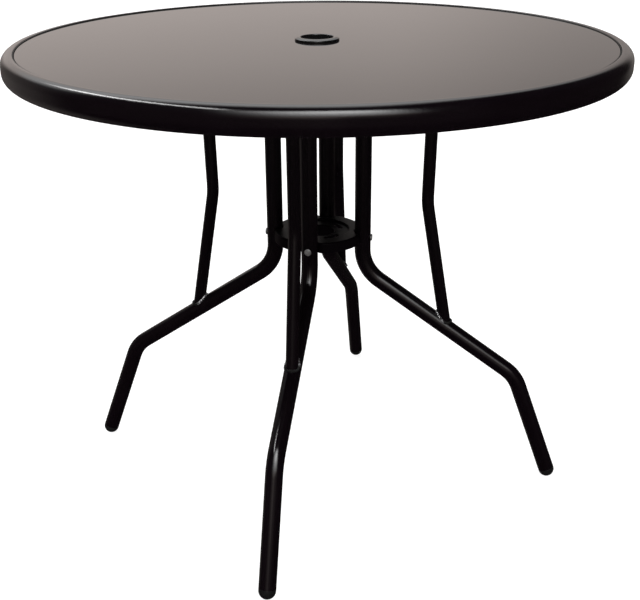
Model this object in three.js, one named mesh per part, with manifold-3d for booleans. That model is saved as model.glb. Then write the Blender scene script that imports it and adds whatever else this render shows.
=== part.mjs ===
// Umbrella table: a round tempered glass top in a rolled steel rim, on four bent tube
// legs that are bolted round a stamped hub. A strut welded to each leg steadies the top,
// and an umbrella pole passes through a grommet in the glass and the hole in the hub.
// Millimetres, +Z up. The origin is on the floor under the middle of the top, and the
// legs point along -X, -Y, +X and +Y.

import * as THREE from "three";
import { mergeVertices } from "three/addons/utils/BufferGeometryUtils.js";
import Module from "manifold-3d";

// Overall size and the gap left between pieces that touch
const tableHeight = 710;
const rimRadius = 450;
const fitGap = 0.3;

// Rim, a C section of rolled sheet that opens inwards
const rimHeight = 36.5;
const rimSheet = 1.5;
const rimCrownRound = 14;
const rimCrownFlat = 2.3;
const rimFootRound = 14;
const rimLipWidth = 18;
const rimLedgeDepth = 9;
const rimLedgeWidth = 8.2;

// Glass and the rubber seal round it
const glassThickness = 5;
const glassEdgeChamfer = 0.8;
const sealWall = 1.1;
const sealLipWidth = 7.2;
const sealLipThickness = 1.5;
const sealStand = 0.3;
const sealCrown = 0.4;

// Umbrella grommet and the ring nut that holds it under the glass
const poleHoleRadius = 24;
const grommetWall = 2.5;
const grommetFlangeRadius = 33;
const grommetFlangeHeight = 4.4;
const grommetEdgeHeight = 2.6;
const grommetCrownRadius = 28;
const grommetRound = 1.8;
const grommetReach = 11;
const glassHoleSlack = 0.5;
const grommetSeatMargin = 1.5;
const ringNutRadius = 31;
const ringNutHeight = 8;
const ringNutChamfer = 1;

// Cross bars under the glass and the ring that they meet in
const barWidth = 30;
const barHeight = 14;
const barSheet = 1.5;
const barEndSlack = 2.2;
const centreRingRadius = 37;
const centreRingWall = 3;

// Legs: the upright's radius, then the corners of the centreline
const legTubeRadius = 12.7;
const legTubeWall = 1.2;
const legUprightRadius = 71;
const legElbowHeight = 352;
const legKneeRadius = 322.6;
const legKneeHeight = 181.6;
const legFootRadius = 390.8;
const legBendRadius = 62;

// Struts: where the centreline starts, bends and lands on the leg's centreline
const strutTubeRadius = 9.5;
const strutTubeWall = 1.2;
const strutTopRadius = 175.4;
const strutBendCornerRadius = 171.2;
const strutBendCornerHeight = 466.8;
const strutLandingRadius = 207;
const strutBendRadius = 120;
const weldBead = 3;

// Foot caps
const capSkirt = 3;
const capSpigotLength = 20;
const capSpigotWall = 2;
const capFlatDepth = 0.5;

// Hub, an inverted tray pressed from sheet with a seat for each upright
const hubRadius = 70;
const hubTopAboveElbow = 62.5;
const hubHeight = 16;
const hubSheet = 2;
const hubCornerRound = 10;
const hubEarDrop = 2;
const hubEarHalfWidth = 10;
const hubRecessRadius = 48;
const hubRecessDepth = 3;
const hubHoleRadius = 25;
const hubCollarDrop = 16;
const hubSlotPitchRadius = 37;
const hubSlotHalfWidth = 4;
const hubSlotHalfAngle = THREE.MathUtils.degToRad(15);

// Bolts and nuts of the hub
const hubBoltDrop = 9.5;
const hubBoltRadius = 3;
const hubBoltHeadRadius = 5.5;
const hubBoltHeadHeight = 2;
const hubNutAcrossFlats = 10;
const hubNutHeight = 5;
const boltEndReach = 1.5;
const boltSocketRadius = 1.8;
const boltSocketDepth = 1.2;
const boltHeadChamfer = 0.8;

// Threaded plugs in the tube tops and the low bolts that go into them
const plugHeight = 12;
const legTopBoltRadius = 3;
const strutTopBoltRadius = 2.5;
const topBoltHeadRadius = 7;
const topBoltHeadHeight = 2.4;
const topBoltReach = 10;

// Facets of the round forms, in steps per turn or per arc
const ringSides = 48;
const smallRingSides = 24;
const legSides = 12;
const strutSides = 10;
const spaceSides = 16;
const boltSides = 12;
const hiddenBoltSides = 8;
const hexSides = 6;
const bendSteps = 4;
const roundSteps = 4;
const seatSteps = 10;
const innerRoundSteps = 2;

// Room that a cutting tool keeps outside the piece it cuts, and the merge distance
const cutOverrun = 5;
const mergeDistance = 0.0005;

const wasm = await Module();
wasm.setup();

const powderCoat = { color: 0x121212, roughness: 0.35, metalness: 0.5 };
const darkGlass = { color: 0x8f8781, roughness: 0.08, metalness: 0 };
const blackRubber = { color: 0x0b0b0b, roughness: 0.8, metalness: 0 };
const blackPlastic = { color: 0x0d0d0d, roughness: 0.25, metalness: 0 };
const zincPlate = { color: 0xa9acaf, roughness: 0.3, metalness: 1 };

const table = new THREE.Group();

// Adds one named piece to a group.
function addPiece(group, name, geometry, finish) {
  const mesh = new THREE.Mesh(geometry, new THREE.MeshStandardMaterial(finish));
  mesh.name = name;
  group.add(mesh);
  return mesh;
}

// A closed geometry as a solid that can be cut and joined.
function toSolid(geometry) {
  const bare = geometry.clone();
  bare.deleteAttribute("normal");
  bare.deleteAttribute("uv");
  const merged = mergeVertices(bare, mergeDistance);
  const vertProperties = merged.attributes.position.array;
  const triVerts = new Uint32Array(merged.index.array);
  return new wasm.Manifold(new wasm.Mesh({ numProp: 3, vertProperties, triVerts }));
}

// A solid back as a geometry.
function toGeometry(solid) {
  const mesh = solid.getMesh();
  const geometry = new THREE.BufferGeometry();
  geometry.setAttribute("position", new THREE.BufferAttribute(mesh.vertProperties, 3));
  geometry.setIndex(new THREE.BufferAttribute(mesh.triVerts, 1));
  geometry.computeVertexNormals();
  return geometry;
}

// Points [x, y] along an arc, both ends included.
function arc(x, y, radius, from, to, steps) {
  const points = [];
  for (let i = 0; i <= steps; i += 1) {
    const angle = from + ((to - from) * i) / steps;
    points.push([x + radius * Math.cos(angle), y + radius * Math.sin(angle)]);
  }
  return points;
}

const quarter = Math.PI / 2;

// A profile of [radius, height] points turned about the vertical axis.
function turned(profile, sides) {
  const points = profile.map(([radius, height]) => new THREE.Vector2(radius, height));
  return new THREE.LatheGeometry(points, sides).rotateX(quarter);
}

// A plain upright cylinder from one height to another.
function upright(radius, bottom, top, sides) {
  const cylinder = new THREE.CylinderGeometry(radius, radius, top - bottom, sides);
  return cylinder.rotateX(quarter).translate(0, 0, (bottom + top) / 2);
}

// A plain cylinder between two points.
function rod(start, end, radius, sides) {
  const along = end.clone().sub(start);
  const turn = new THREE.Quaternion();
  turn.setFromUnitVectors(new THREE.Vector3(0, 1, 0), along.clone().normalize());
  const cylinder = new THREE.CylinderGeometry(radius, radius, along.length(), sides);
  const middle = start.clone().add(end).multiplyScalar(1 / 2);
  return cylinder.applyQuaternion(turn).translate(middle.x, middle.y, middle.z);
}

// An outline of [x, y] points as a plate from one height to another.
function plate(outline, bottom, top) {
  const shape = new THREE.Shape(outline.map(([x, y]) => new THREE.Vector2(x, y)));
  const settings = { depth: top - bottom, bevelEnabled: false };
  return new THREE.ExtrudeGeometry(shape, settings).translate(0, 0, bottom);
}

// The centreline of a bent tube: straight runs joined by arcs, with a section at each
// end of a run and a few round each arc.
class BentCentreline extends THREE.Curve {
  constructor(corners, bendRadius) {
    super();
    const last = corners.length - 1;
    const runs = corners.slice(1).map((corner, i) => corner.clone().sub(corners[i]).normalize());
    this.stations = [{ point: corners[0], heading: runs[0] }];
    for (let i = 1; i < last; i += 1) {
      this.addBend(corners[i], runs[i - 1], runs[i], bendRadius);
    }
    this.stations.push({ point: corners[last], heading: runs[last - 1] });
  }

  addBend(corner, before, after, bendRadius) {
    const axis = before.clone().cross(after).normalize();
    const angle = before.angleTo(after);
    const start = corner.clone().addScaledVector(before, -bendRadius * Math.tan(angle / 2));
    const inwards = axis.clone().cross(before);
    const centre = start.clone().addScaledVector(inwards, bendRadius);
    for (let i = 0; i <= bendSteps; i += 1) {
      const turn = (angle * i) / bendSteps;
      const arm = inwards.clone().multiplyScalar(-bendRadius).applyAxisAngle(axis, turn);
      const heading = before.clone().applyAxisAngle(axis, turn);
      this.stations.push({ point: centre.clone().add(arm), heading });
    }
  }

  stationAt(share) {
    return this.stations[Math.round(share * (this.stations.length - 1))];
  }

  getPointAt(share, target = new THREE.Vector3()) {
    return target.copy(this.stationAt(share).point);
  }

  getTangentAt(share, target = new THREE.Vector3()) {
    return target.copy(this.stationAt(share).heading);
  }
}

// A round tube, or a round bar where the bore is zero, along a bent centreline.
function bentTube(centreline, outerRadius, boreRadius, sides) {
  const section = new THREE.Shape().absarc(0, 0, outerRadius, 0, 2 * Math.PI, false);
  if (boreRadius > 0) {
    section.holes.push(new THREE.Path().absarc(0, 0, boreRadius, 0, 2 * Math.PI, true));
  }
  return new THREE.ExtrudeGeometry(section, {
    steps: centreline.stations.length - 1,
    curveSegments: sides / 2,
    extrudePath: centreline,
  });
}

// Heights and radii that several pieces share
const crownCentreRadius = rimRadius - rimCrownRound;
const crownInnerRadius = crownCentreRadius - rimCrownFlat;
const riserRadius = crownInnerRadius - rimSheet;
const ledgeTop = tableHeight - rimLedgeDepth;
const ledgeInnerRadius = riserRadius - rimLedgeWidth;
const ledgeUnderside = ledgeTop - rimSheet;
const sealOuterRadius = riserRadius - fitGap;
const sealInnerRadius = sealOuterRadius - sealWall;
const glassRadius = sealInnerRadius - fitGap;
const sealLipTop = ledgeTop + fitGap + sealLipThickness;
const glassBottom = sealLipTop + fitGap;
const glassTop = glassBottom + glassThickness;
const grommetSleeveRadius = poleHoleRadius + grommetWall;
const glassHoleRadius = grommetSleeveRadius + glassHoleSlack;
const barTop = ledgeUnderside - fitGap;
const barUnderside = barTop - barSheet;
const tubeTop = barUnderside - fitGap;
const hubTopHeight = legElbowHeight + hubTopAboveElbow;
const hubBoltHeight = hubTopHeight - hubBoltDrop;
const legTopHoleRadius = legTopBoltRadius + fitGap;
const strutTopHoleRadius = strutTopBoltRadius + fitGap;
const hubBoltHoleRadius = hubBoltRadius + fitGap;

// Rim: ledge, riser, crown, outer wall and bottom lip, then the sheet's inner side back
function rimGeometry() {
  const bottom = tableHeight - rimHeight;
  const lipRadius = rimRadius - rimLipWidth;
  const crownHeight = tableHeight - rimCrownRound;
  const crownUnderside = tableHeight - rimSheet;
  const footRadius = rimRadius - rimFootRound;
  const footHeight = bottom + rimFootRound;
  const profile = [
    [ledgeInnerRadius, ledgeTop],
    [riserRadius, ledgeTop],
    ...arc(crownInnerRadius, crownUnderside, rimSheet, Math.PI, quarter, innerRoundSteps),
    ...arc(crownCentreRadius, crownHeight, rimCrownRound, quarter, 0, roundSteps),
    ...arc(footRadius, footHeight, rimFootRound, 0, -quarter, roundSteps),
    [lipRadius, bottom],
    [lipRadius, bottom + rimSheet],
    ...arc(footRadius, footHeight, rimFootRound - rimSheet, -quarter, 0, roundSteps),
    ...arc(crownCentreRadius, crownHeight, rimCrownRound - rimSheet, 0, quarter, roundSteps),
    [crownInnerRadius, crownUnderside],
    [crownInnerRadius, ledgeUnderside],
    [ledgeInnerRadius, ledgeUnderside],
  ];
  profile.push(profile[0]);
  return turned(profile.reverse(), ringSides);
}

// Glass: a flat disc with a ground edge and a round hole. Its top face is parted where the
// grommet's flange sits, so that the open part is a face of its own.
function glassGeometry() {
  const seatRadius = grommetFlangeRadius + grommetSeatMargin;
  const profile = [
    [glassHoleRadius, glassBottom],
    [glassRadius - glassEdgeChamfer, glassBottom],
    [glassRadius, glassBottom + glassEdgeChamfer],
    [glassRadius, glassTop - glassEdgeChamfer],
    [glassRadius - glassEdgeChamfer, glassTop],
    [seatRadius, glassTop],
    [glassHoleRadius, glassTop],
    [glassHoleRadius, glassBottom],
  ];
  return turned(profile, ringSides);
}

// Seal: an L section, its lip under the glass and its wall between glass and riser
function sealGeometry() {
  const bottom = ledgeTop + fitGap;
  const shoulder = glassTop + sealStand;
  const middleRadius = (sealInnerRadius + sealOuterRadius) / 2;
  const profile = [
    [sealOuterRadius - sealLipWidth, bottom],
    [sealOuterRadius, bottom],
    [sealOuterRadius, shoulder],
    [middleRadius, shoulder + sealCrown],
    [sealInnerRadius, shoulder],
    [sealInnerRadius, sealLipTop],
    [sealOuterRadius - sealLipWidth, sealLipTop],
    [sealOuterRadius - sealLipWidth, bottom],
  ];
  return turned(profile, ringSides);
}

// Grommet: a flange on the glass that slopes up from its thin edge to the rounded mouth of
// the hole, and a sleeve down through the glass
function grommetGeometry() {
  const flangeBottom = glassTop + fitGap;
  const flangeTop = flangeBottom + grommetFlangeHeight;
  const sleeveBottom = glassBottom - grommetReach;
  const roundHeight = flangeTop - grommetRound;
  const innerRound = poleHoleRadius + grommetRound;
  const profile = [
    [poleHoleRadius, sleeveBottom],
    [grommetSleeveRadius, sleeveBottom],
    [grommetSleeveRadius, flangeBottom],
    [grommetFlangeRadius, flangeBottom],
    [grommetFlangeRadius, flangeBottom + grommetEdgeHeight],
    [grommetCrownRadius, flangeTop],
    ...arc(innerRound, roundHeight, grommetRound, quarter, Math.PI, innerRoundSteps),
    [poleHoleRadius, sleeveBottom],
  ];
  return turned(profile, smallRingSides);
}

// Ring nut: screwed up the sleeve against the underside of the glass
function ringNutGeometry() {
  const top = glassBottom - fitGap;
  const bottom = top - ringNutHeight;
  const boreRadius = grommetSleeveRadius + fitGap;
  const profile = [
    [boreRadius, bottom],
    [ringNutRadius - ringNutChamfer, bottom],
    [ringNutRadius, bottom + ringNutChamfer],
    [ringNutRadius, top],
    [boreRadius, top],
    [boreRadius, bottom],
  ];
  return turned(profile, smallRingSides);
}

// Centre ring: a short tube that the four cross bars are welded to
function centreRingGeometry() {
  const bottom = barTop - barHeight;
  const boreRadius = centreRingRadius - centreRingWall;
  const profile = [
    [boreRadius, bottom],
    [centreRingRadius, bottom],
    [centreRingRadius, barTop],
    [boreRadius, barTop],
    [boreRadius, bottom],
  ];
  return turned(profile, smallRingSides);
}

// Cross bar: an inverted channel along +X from the centre ring into the rim, with a hole
// over the upright and one over the strut
function crossBarGeometry() {
  const end = rimRadius - rimSheet - barEndSlack;
  const start = centreRingRadius - centreRingWall;
  const half = barWidth / 2;
  const inner = half - barSheet;
  const section = [
    [-half, 0],
    [-half, -barHeight],
    [-inner, -barHeight],
    [-inner, -barSheet],
    [inner, -barSheet],
    [inner, -barHeight],
    [half, -barHeight],
    [half, 0],
  ];
  const channel = plate(section, start, end).rotateX(quarter).rotateZ(quarter);
  const above = barTop + cutOverrun;
  const below = barUnderside - cutOverrun;
  const ringBottom = barTop - barHeight - cutOverrun;
  const ringCut = upright(centreRingRadius + fitGap, ringBottom, above, smallRingSides);
  const legHole = upright(legTopHoleRadius, below, above, boltSides);
  const strutHole = upright(strutTopHoleRadius, below, above, boltSides);
  const solid = toSolid(channel.translate(0, 0, barTop))
    .subtract(toSolid(ringCut))
    .subtract(toSolid(legHole.translate(legUprightRadius, 0, 0)))
    .subtract(toSolid(strutHole.translate(strutTopRadius, 0, 0)));
  return toGeometry(solid);
}

// Corners of a leg's centreline, from its top down to where the axis meets the floor
const legElbow = new THREE.Vector3(legUprightRadius, 0, legElbowHeight);
const legKnee = new THREE.Vector3(legKneeRadius, 0, legKneeHeight);
const legFoot = new THREE.Vector3(legFootRadius, 0, 0);
const shinHeading = legFoot.clone().sub(legKnee).normalize();

// The dome of the foot cap is a ball of the tube's size, cut flat on the floor.
const domeHeight = legTubeRadius - capFlatDepth;
const domeCentre = legFoot.clone().addScaledVector(shinHeading, domeHeight / shinHeading.z);
const legEnd = domeCentre.clone().addScaledVector(shinHeading, -capSkirt);

// Leg: one bent tube with a cross hole for the hub bolt
function legGeometry() {
  const top = new THREE.Vector3(legUprightRadius, 0, tubeTop);
  const centreline = new BentCentreline([top, legElbow, legKnee, legEnd], legBendRadius);
  const tube = bentTube(centreline, legTubeRadius, legTubeRadius - legTubeWall, legSides);
  const reach = legTubeRadius + cutOverrun;
  const inside = new THREE.Vector3(legUprightRadius - reach, 0, hubBoltHeight);
  const outside = new THREE.Vector3(legUprightRadius + reach, 0, hubBoltHeight);
  const hole = rod(inside, outside, hubBoltHoleRadius, boltSides);
  return toGeometry(toSolid(tube).subtract(toSolid(hole)));
}

// Corners of a strut's centreline, down to the point where it meets the leg's centreline
const thighSlope = (legKneeHeight - legElbowHeight) / (legKneeRadius - legUprightRadius);
const strutLandingHeight = legElbowHeight + thighSlope * (strutLandingRadius - legUprightRadius);
const strutTop = new THREE.Vector3(strutTopRadius, 0, tubeTop);
const strutCorner = new THREE.Vector3(strutBendCornerRadius, 0, strutBendCornerHeight);
const strutLanding = new THREE.Vector3(strutLandingRadius, 0, strutLandingHeight);

// The space that the leg's slope takes, with a margin round the tube
function thighSpace(margin) {
  return toSolid(rod(legElbow, legKnee, legTubeRadius + margin, spaceSides));
}

// Strut: one bent tube, its lower end coped to sit on the leg
function strutGeometry() {
  const centreline = new BentCentreline([strutTop, strutCorner, strutLanding], strutBendRadius);
  const tube = bentTube(
    centreline,
    strutTubeRadius,
    strutTubeRadius - strutTubeWall,
    strutSides,
  );
  return toGeometry(toSolid(tube).subtract(thighSpace(fitGap)));
}

// Weld: a bead in the corner all round the strut's coped end
function weldGeometry() {
  const above = strutCorner.clone().lerp(strutLanding, 1 / 2);
  const shank = (margin) => {
    return toSolid(rod(above, strutLanding, strutTubeRadius + margin, spaceSides));
  };
  const bead = shank(weldBead)
    .intersect(thighSpace(weldBead))
    .subtract(shank(fitGap))
    .subtract(thighSpace(fitGap));
  return toGeometry(bead);
}

// Foot cap: a domed end with a skirt as wide as the tube and a hollow spigot up its bore
function footCapGeometry() {
  const spigotRadius = legTubeRadius - legTubeWall - fitGap;
  const boreRadius = spigotRadius - capSpigotWall;
  const seat = capSkirt - fitGap;
  const profile = [
    [0, -legTubeRadius],
    ...arc(0, 0, legTubeRadius, -quarter, 0, roundSteps).slice(1),
    [legTubeRadius, seat],
    [spigotRadius, seat],
    [spigotRadius, seat + capSpigotLength],
    [boreRadius, seat + capSpigotLength],
    [boreRadius, seat],
    [0, seat],
  ];
  const cap = turned(profile, legSides);
  const upwards = shinHeading.clone().negate();
  const turn = new THREE.Quaternion();
  turn.setFromUnitVectors(new THREE.Vector3(0, 0, 1), upwards);
  cap.applyQuaternion(turn).translate(domeCentre.x, domeCentre.y, domeCentre.z);
  const floor = upright(legTubeRadius + cutOverrun, -legTubeRadius, 0, boltSides);
  return toGeometry(toSolid(cap).subtract(toSolid(floor.translate(legFoot.x, 0, 0))));
}

// The hub's outline, moved inwards by an inset: a circle with a half-round seat for each
// upright and a round corner on both sides of each seat
function hubOutline(inset) {
  const seatRadius = legTubeRadius + fitGap;
  const cornerCentreRadius = hubRadius - hubCornerRound;
  const cornerReach = seatRadius + hubCornerRound;
  const sumOfSquares = cornerCentreRadius ** 2 + legUprightRadius ** 2;
  const cosine = (sumOfSquares - cornerReach ** 2) / (2 * cornerCentreRadius * legUprightRadius);
  const spread = Math.acos(cosine);
  const cornerX = cornerCentreRadius * Math.cos(spread);
  const cornerY = cornerCentreRadius * Math.sin(spread);
  const lean = Math.atan2(-cornerY, legUprightRadius - cornerX);
  const corner = hubCornerRound - inset;
  const seat = seatRadius + inset;
  const outline = [];
  for (let i = 0; i < 4; i += 1) {
    const quadrant = [
      ...arc(cornerX, -cornerY, corner, -spread, -lean, roundSteps),
      ...arc(legUprightRadius, 0, seat, Math.PI - lean, Math.PI + lean, seatSteps).slice(1, -1),
      ...arc(cornerX, cornerY, corner, lean, spread, roundSteps),
      ...arc(0, 0, hubRadius - inset, spread, quarter - spread, roundSteps).slice(1, -1),
    ];
    const turn = i * quarter;
    quadrant.forEach(([x, y]) => {
      outline.push([
        x * Math.cos(turn) - y * Math.sin(turn),
        x * Math.sin(turn) + y * Math.cos(turn),
      ]);
    });
  }
  return outline;
}

// A curved slot along the pitch circle, about the +X direction
function hubSlotOutline() {
  const inner = hubSlotPitchRadius - hubSlotHalfWidth;
  const outer = hubSlotPitchRadius + hubSlotHalfWidth;
  const spread = hubSlotHalfAngle;
  const endX = hubSlotPitchRadius * Math.cos(spread);
  const endY = hubSlotPitchRadius * Math.sin(spread);
  return [
    ...arc(0, 0, outer, -spread, spread, roundSteps),
    ...arc(endX, endY, hubSlotHalfWidth, spread, spread + Math.PI, roundSteps).slice(1, -1),
    ...arc(0, 0, inner, spread, -spread, roundSteps),
    ...arc(endX, -endY, hubSlotHalfWidth, Math.PI - spread, 2 * Math.PI - spread, roundSteps)
      .slice(1, -1),
  ];
}

// Hub: a pressed tray with a sunk middle, a collar round the pole hole, four curved slots
// and a drilled ear behind each upright
function hubGeometry() {
  const skirtBottom = hubTopHeight - hubHeight;
  const earBottom = skirtBottom - hubEarDrop;
  const sheetUnderside = hubTopHeight - hubSheet;
  const recessFloor = hubTopHeight - hubRecessDepth;
  const recessUnderside = recessFloor - hubSheet;
  const collarBottom = recessUnderside - hubCollarDrop;
  const above = hubTopHeight + cutOverrun;
  const below = earBottom - cutOverrun;
  const dish = upright(hubRecessRadius + hubSheet, recessUnderside, above, smallRingSides);
  const collar = upright(hubHoleRadius + hubSheet, collarBottom, above, smallRingSides);
  const hollow = toSolid(plate(hubOutline(hubSheet), below, sheetUnderside))
    .subtract(toSolid(dish))
    .subtract(toSolid(collar));
  const recess = upright(hubRecessRadius, recessFloor, above, smallRingSides);
  const poleHole = upright(hubHoleRadius, below, above, smallRingSides);
  let solid = toSolid(plate(hubOutline(0), earBottom, hubTopHeight))
    .subtract(hollow)
    .subtract(toSolid(recess))
    .subtract(toSolid(poleHole));
  let skirtCut = toSolid(upright(hubRadius + cutOverrun, below, skirtBottom, smallRingSides));
  const earSpan = 2 * legTubeRadius;
  for (let i = 0; i < 4; i += 1) {
    const turn = i * quarter;
    const ear = new THREE.BoxGeometry(earSpan, 2 * hubEarHalfWidth, 2 * (skirtBottom - below));
    ear.translate(legUprightRadius - earSpan / 2, 0, skirtBottom).rotateZ(turn);
    skirtCut = skirtCut.subtract(toSolid(ear));
  }
  solid = solid.subtract(skirtCut);
  for (let i = 0; i < 4; i += 1) {
    const turn = i * quarter;
    const slot = plate(hubSlotOutline(), below, above).rotateZ(turn + quarter / 2);
    const holeStart = new THREE.Vector3(hubHoleRadius + 2 * hubSheet, 0, hubBoltHeight);
    const holeEnd = new THREE.Vector3(legUprightRadius, 0, hubBoltHeight);
    const boltHole = rod(holeStart, holeEnd, hubBoltHoleRadius, boltSides).rotateZ(turn);
    solid = solid.subtract(toSolid(slot)).subtract(toSolid(boltHole));
  }
  return toGeometry(solid);
}

// A bolt along +Z with its head's seat at zero and a round socket in the head
function boltGeometry(shankRadius, shankLength, headRadius, headHeight, sides) {
  const profile = [
    [0, -shankLength],
    [shankRadius, -shankLength],
    [shankRadius, 0],
    [headRadius, 0],
    [headRadius, headHeight - boltHeadChamfer],
    [headRadius - boltHeadChamfer, headHeight],
    [boltSocketRadius, headHeight],
    [boltSocketRadius, headHeight - boltSocketDepth],
    [0, headHeight - boltSocketDepth],
  ];
  return turned(profile, sides);
}

// A round plug with a through bore, with as many sides as the tube that it fills
function plugGeometry(outerRadius, boreRadius, sides) {
  const bottom = tubeTop - plugHeight;
  const profile = [
    [boreRadius, bottom],
    [outerRadius, bottom],
    [outerRadius, tubeTop],
    [boreRadius, tubeTop],
    [boreRadius, bottom],
  ];
  return turned(profile, sides);
}

// A hexagon nut along +X, its outer face at the given radius from the table's axis
function hubNutGeometry(faceRadius) {
  const cornerRadius = hubNutAcrossFlats / 2 / Math.cos(Math.PI / hexSides);
  const start = new THREE.Vector3(faceRadius - hubNutHeight, 0, hubBoltHeight);
  const end = new THREE.Vector3(faceRadius, 0, hubBoltHeight);
  const overrun = new THREE.Vector3(cutOverrun, 0, 0);
  const bore = rod(start.clone().sub(overrun), end.clone().add(overrun), hubBoltHoleRadius, boltSides);
  return toGeometry(toSolid(rod(start, end, cornerRadius, hexSides)).subtract(toSolid(bore)));
}

// Everything that belongs to one leg, built along +X and turned into place
function addLegSet(side, turn) {
  const set = new THREE.Group();
  set.rotation.z = turn;
  table.add(set);
  addPiece(set, "cross_bar_" + side, crossBarGeometry(), powderCoat);
  addPiece(set, "leg_" + side, legGeometry(), powderCoat);
  addPiece(set, "foot_cap_" + side, footCapGeometry(), blackPlastic);
  addPiece(set, "strut_" + side, strutGeometry(), powderCoat);
  addPiece(set, "strut_weld_" + side, weldGeometry(), powderCoat);

  const hubWallRadius = legUprightRadius - legTubeRadius - fitGap - hubSheet;
  const nutFaceRadius = hubWallRadius - fitGap;
  const boltSeatRadius = legUprightRadius + legTubeRadius + fitGap;
  const boltLength = boltSeatRadius - nutFaceRadius + hubNutHeight + boltEndReach;
  const hubBolt = boltGeometry(
    hubBoltRadius,
    boltLength,
    hubBoltHeadRadius,
    hubBoltHeadHeight,
    boltSides,
  );
  hubBolt.rotateY(quarter).translate(boltSeatRadius, 0, hubBoltHeight);
  addPiece(set, "hub_bolt_" + side, hubBolt, zincPlate);
  addPiece(set, "hub_nut_" + side, hubNutGeometry(nutFaceRadius), zincPlate);

  const legPlugRadius = legTubeRadius - legTubeWall - fitGap;
  const legPlug = plugGeometry(legPlugRadius, legTopHoleRadius, legSides);
  addPiece(set, "leg_top_plug_" + side, legPlug.translate(legUprightRadius, 0, 0), zincPlate);

  const strutPlugRadius = strutTubeRadius - strutTubeWall - fitGap;
  const strutPlug = plugGeometry(strutPlugRadius, strutTopHoleRadius, strutSides);
  const lean = (strutTopRadius - strutBendCornerRadius) / (tubeTop - strutBendCornerHeight);
  const strutPlugPlace = strutTopRadius - (lean * plugHeight) / 2;
  addPiece(set, "strut_top_plug_" + side, strutPlug.translate(strutPlugPlace, 0, 0), zincPlate);

  const seat = barTop + fitGap;
  const tops = [
    ["leg_top_bolt_", legTopBoltRadius, legUprightRadius],
    ["strut_top_bolt_", strutTopBoltRadius, strutTopRadius],
  ];
  tops.forEach(([name, shankRadius, place]) => {
    const length = seat - tubeTop + topBoltReach;
    const bolt = boltGeometry(
      shankRadius,
      length,
      topBoltHeadRadius,
      topBoltHeadHeight,
      hiddenBoltSides,
    );
    addPiece(set, name + side, bolt.translate(place, 0, seat), zincPlate);
  });
}

addPiece(table, "rim_ring", rimGeometry(), powderCoat);
addPiece(table, "glass_seal", sealGeometry(), blackRubber);
addPiece(table, "glass_top", glassGeometry(), darkGlass);
addPiece(table, "umbrella_grommet", grommetGeometry(), blackPlastic);
addPiece(table, "grommet_nut", ringNutGeometry(), blackPlastic);
addPiece(table, "centre_ring", centreRingGeometry(), powderCoat);
addPiece(table, "hub_plate", hubGeometry(), powderCoat);
addLegSet("left", Math.PI);
addLegSet("front", -quarter);
addLegSet("right", 0);
addLegSet("back", quarter);

export default table;
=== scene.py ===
# Umbrella table: a round dark glass top in a rolled steel rim, on four bent tube legs that
# are bolted round a stamped hub. A strut welded to each leg steadies the top, and an
# umbrella pole passes through a grommet in the glass and the hole in the hub.
# Metres, +Z up. The legs point along -X, -Y, +X and +Y.

import math

import bmesh
import bpy
from mathutils import Matrix, Vector


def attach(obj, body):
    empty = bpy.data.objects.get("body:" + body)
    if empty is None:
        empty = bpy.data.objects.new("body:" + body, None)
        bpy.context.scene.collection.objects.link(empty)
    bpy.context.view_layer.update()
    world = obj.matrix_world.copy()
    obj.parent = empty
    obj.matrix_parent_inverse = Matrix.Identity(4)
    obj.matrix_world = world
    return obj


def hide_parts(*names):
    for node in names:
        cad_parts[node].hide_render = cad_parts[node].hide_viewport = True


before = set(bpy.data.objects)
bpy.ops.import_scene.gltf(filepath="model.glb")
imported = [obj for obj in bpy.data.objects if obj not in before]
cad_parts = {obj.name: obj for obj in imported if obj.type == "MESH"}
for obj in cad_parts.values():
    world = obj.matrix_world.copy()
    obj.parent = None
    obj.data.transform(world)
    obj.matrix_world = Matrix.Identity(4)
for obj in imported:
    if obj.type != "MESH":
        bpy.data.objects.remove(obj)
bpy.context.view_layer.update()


# Camera: a metre and a half from the table's axis and a quarter of a metre above its top.
# It stands a little to the right of the near leg and looks down on the whole table.
camera_place = (0.2964, -1.4760, 0.94945)
camera_pan = 11.301
camera_tilt = -23.647
camera_roll = 0.435
camera_level = 90

scene = bpy.context.scene
camera_data = bpy.data.cameras.new("camera")
camera_data.sensor_width = 36
camera_data.lens = 56.45
camera = bpy.data.objects.new("camera", camera_data)
scene.collection.objects.link(camera)
scene.camera = camera
camera_turn = (
    Matrix.Rotation(math.radians(camera_pan), 4, "Z")
    @ Matrix.Rotation(math.radians(camera_tilt), 4, "X")
    @ Matrix.Rotation(math.radians(camera_roll), 4, "Y")
    @ Matrix.Rotation(math.radians(camera_level), 4, "X")
)
camera.matrix_world = Matrix.Translation(camera_place) @ camera_turn


# Rim: one strip of sheet steel, rolled to a C section and bent to a ring, then powder
# coated. Its ledge carries the glass, and its rounded crown stands a little proud of it.
rim_radius = 0.450
rim_top = 0.710
rim_bottom = 0.6735
rim_sheet = 0.0015
rim_riser_radius = 0.4322
rim_crown_round = 0.014
rim_foot_round = 0.014
rim_inner_round = 0.0014
rim_ledge_round = 0.001
ledge_top = 0.701
ledge_inner_radius = 0.424
rim_lip_radius = 0.432
fit_gap = 0.0003
full_turn = 2 * math.pi
ring_steps = 192
round_steps_per_metre = 1000
fewest_round_steps = 3
merge_distance = 1e-6
sharp_angle = math.radians(35)


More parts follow.
